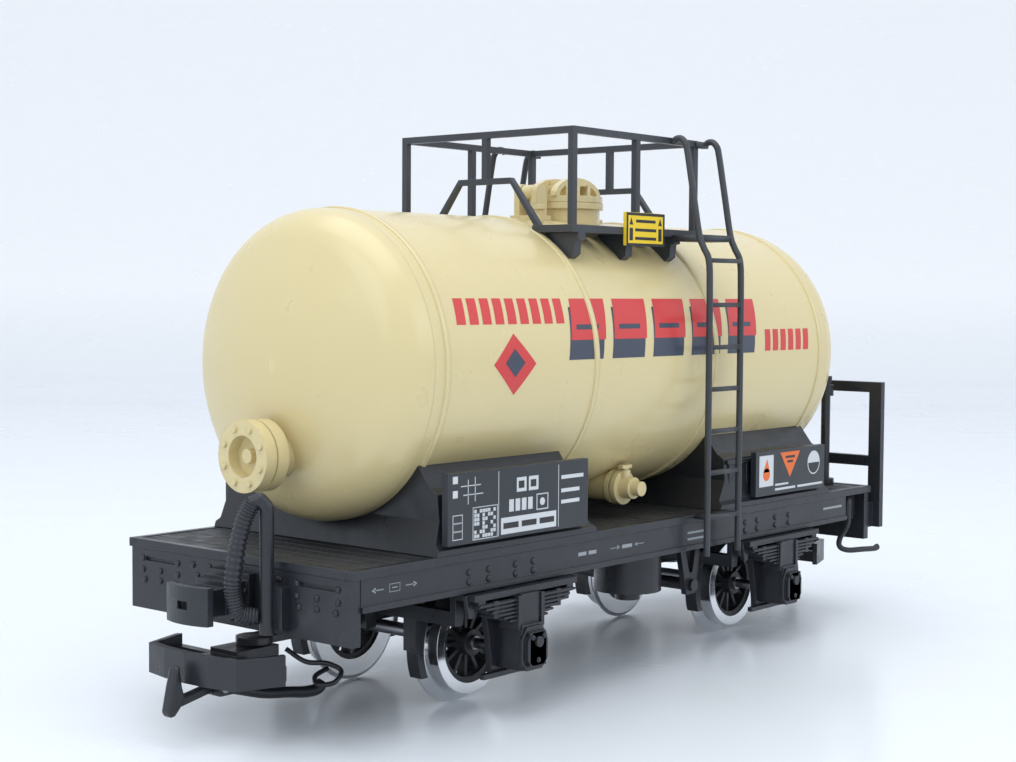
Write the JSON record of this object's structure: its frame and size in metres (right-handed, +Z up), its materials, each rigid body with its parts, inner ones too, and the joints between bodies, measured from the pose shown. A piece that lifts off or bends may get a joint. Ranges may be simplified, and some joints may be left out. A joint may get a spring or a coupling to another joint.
{
  "type": "model tank wagon",
  "caption": "Two-axle garden-railway model tank wagon with a cylindrical tank on saddles, roof gangway, side ladders, sprung-look axle gear, hook couplers and a brake platform.",
  "frame": {"origin": "on the track plane at the flange bottoms, midway between the axles and between the sides", "axes": "+X along the wagon towards the brake platform, +Y across it to the left side, +Z up"},
  "size_m": [0.3116, 0.1054, 0.1672],
  "materials": {
    "tank_paint": "semi-gloss cream",
    "frame_black": "satin dark blue-grey",
    "gangway_grey": "satin dark grey",
    "board_dark": "satin with pale print",
    "plate_yellow": "semi-gloss yellow",
    "hose_black": "ribbed matte",
    "wheel_steel": "bright plated",
    "pin_steel": "plain steel"
  },
  "bodies": {
    "chassis": {"brake_cylinder": "frame_black", "brake_hoses": "hose_black", "brake_pipes": "frame_black", "brake_rigging": "frame_black", "buffers": "frame_black", "centre_sill": "frame_black", "cross_bearers": "frame_black", "deck": "frame_black", "dome_neck": "tank_paint", "end_flange_far": "tank_paint", "end_flange_near": "tank_paint", "end_rails": "gangway_grey", "frame_rivets": "frame_black", "gangway_plates": "plate_yellow", "handbrake_column": "frame_black", "hatch_fittings": "tank_paint", "headstock_far": "frame_black", "headstock_near": "frame_black", "king_pins": "pin_steel", "ladder_left": "gangway_grey", "ladder_right": "gangway_grey", "outlet_valves": "tank_paint", "platform_railing": "frame_black", "saddle_far": "frame_black", "saddle_near": "frame_black", "side_rails": "gangway_grey", "sign_boards_long": "board_dark", "sign_boards_short": "board_dark", "solebar_left": "frame_black", "solebar_right": "frame_black", "steps": "frame_black", "tank_barrel": "tank_paint", "tank_head_far": "tank_paint", "tank_head_near": "tank_paint", "walkway_brackets": "gangway_grey", "walkways": "gangway_grey"},
    "truck_near": {"truck_frame_near": "frame_black", "side_gear_near": "frame_black", "brake_shoes_near": "frame_black", "coupling_pin_near": "pin_steel"},
    "wheelset_near": {"tyres_near": "wheel_steel", "wheel_centres_near": "frame_black", "axle_near": "pin_steel"},
    "coupler_near": {"coupler_near": "frame_black", "hook_pin_near": "pin_steel"},
    "hook_near": {"coupler_hook_near": "frame_black"},
    "truck_far": {"truck_frame_far": "frame_black", "side_gear_far": "frame_black", "brake_shoes_far": "frame_black", "coupling_pin_far": "pin_steel"},
    "wheelset_far": {"tyres_far": "wheel_steel", "wheel_centres_far": "frame_black", "axle_far": "pin_steel"},
    "coupler_far": {"coupler_far": "frame_black", "hook_pin_far": "pin_steel"},
    "hook_far": {"coupler_hook_far": "frame_black"},
    "hatch": {"hatch_lid": "tank_paint"},
    "handle_right": {"valve_handle_right": "tank_paint"},
    "handle_left": {"valve_handle_left": "tank_paint"},
    "crank": {"handbrake_crank": "frame_black"}
  },
  "joints": [
    {"name": "steering_near", "type": "hinge", "parent": "chassis", "child": "truck_near", "pos_m": [-0.068, 0, 0.03], "axis": [0, 0, 1], "range_deg": [-8, 8]},
    {"name": "wheels_near", "type": "hinge", "parent": "truck_near", "child": "wheelset_near", "pos_m": [-0.068, 0, 0.0177], "axis": [0, 1, 0], "continuous": true},
    {"name": "coupler_swing_near", "type": "hinge", "parent": "truck_near", "child": "coupler_near", "pos_m": [-0.1254, 0, 0.0194], "axis": [0, 0, 1], "range_deg": [-15, 15]},
    {"name": "hook_drop_near", "type": "hinge", "parent": "coupler_near", "child": "hook_near", "pos_m": [-0.139, 0, 0.013], "axis": [0, -1, 0], "range_deg": [0, 8]},
    {"name": "steering_far", "type": "hinge", "parent": "chassis", "child": "truck_far", "pos_m": [0.068, 0, 0.03], "axis": [0, 0, 1], "range_deg": [-8, 8]},
    {"name": "wheels_far", "type": "hinge", "parent": "truck_far", "child": "wheelset_far", "pos_m": [0.068, 0, 0.0177], "axis": [0, 1, 0], "continuous": true},
    {"name": "coupler_swing_far", "type": "hinge", "parent": "truck_far", "child": "coupler_far", "pos_m": [0.1254, 0, 0.0194], "axis": [0, 0, 1], "range_deg": [-15, 15]},
    {"name": "hook_drop_far", "type": "hinge", "parent": "coupler_far", "child": "hook_far", "pos_m": [0.139, 0, 0.013], "axis": [0, 1, 0], "range_deg": [0, 8]},
    {"name": "hatch_open", "type": "hinge", "parent": "chassis", "child": "hatch", "pos_m": [-0.01, 0, 0.149], "axis": [0, -1, 0], "range_deg": [0, 105]},
    {"name": "valve_turn_right", "type": "hinge", "parent": "chassis", "child": "handle_right", "pos_m": [0, -0.0308, 0.0622], "axis": [0, 0, 1], "range_deg": [0, 90]},
    {"name": "valve_turn_left", "type": "hinge", "parent": "chassis", "child": "handle_left", "pos_m": [0, 0.0308, 0.0622], "axis": [0, 0, 1], "range_deg": [0, 90]},
    {"name": "handbrake_turn", "type": "hinge", "parent": "chassis", "child": "crank", "pos_m": [0.1265, -0.029, 0.085], "axis": [0, 0, 1], "continuous": true}
  ]
}
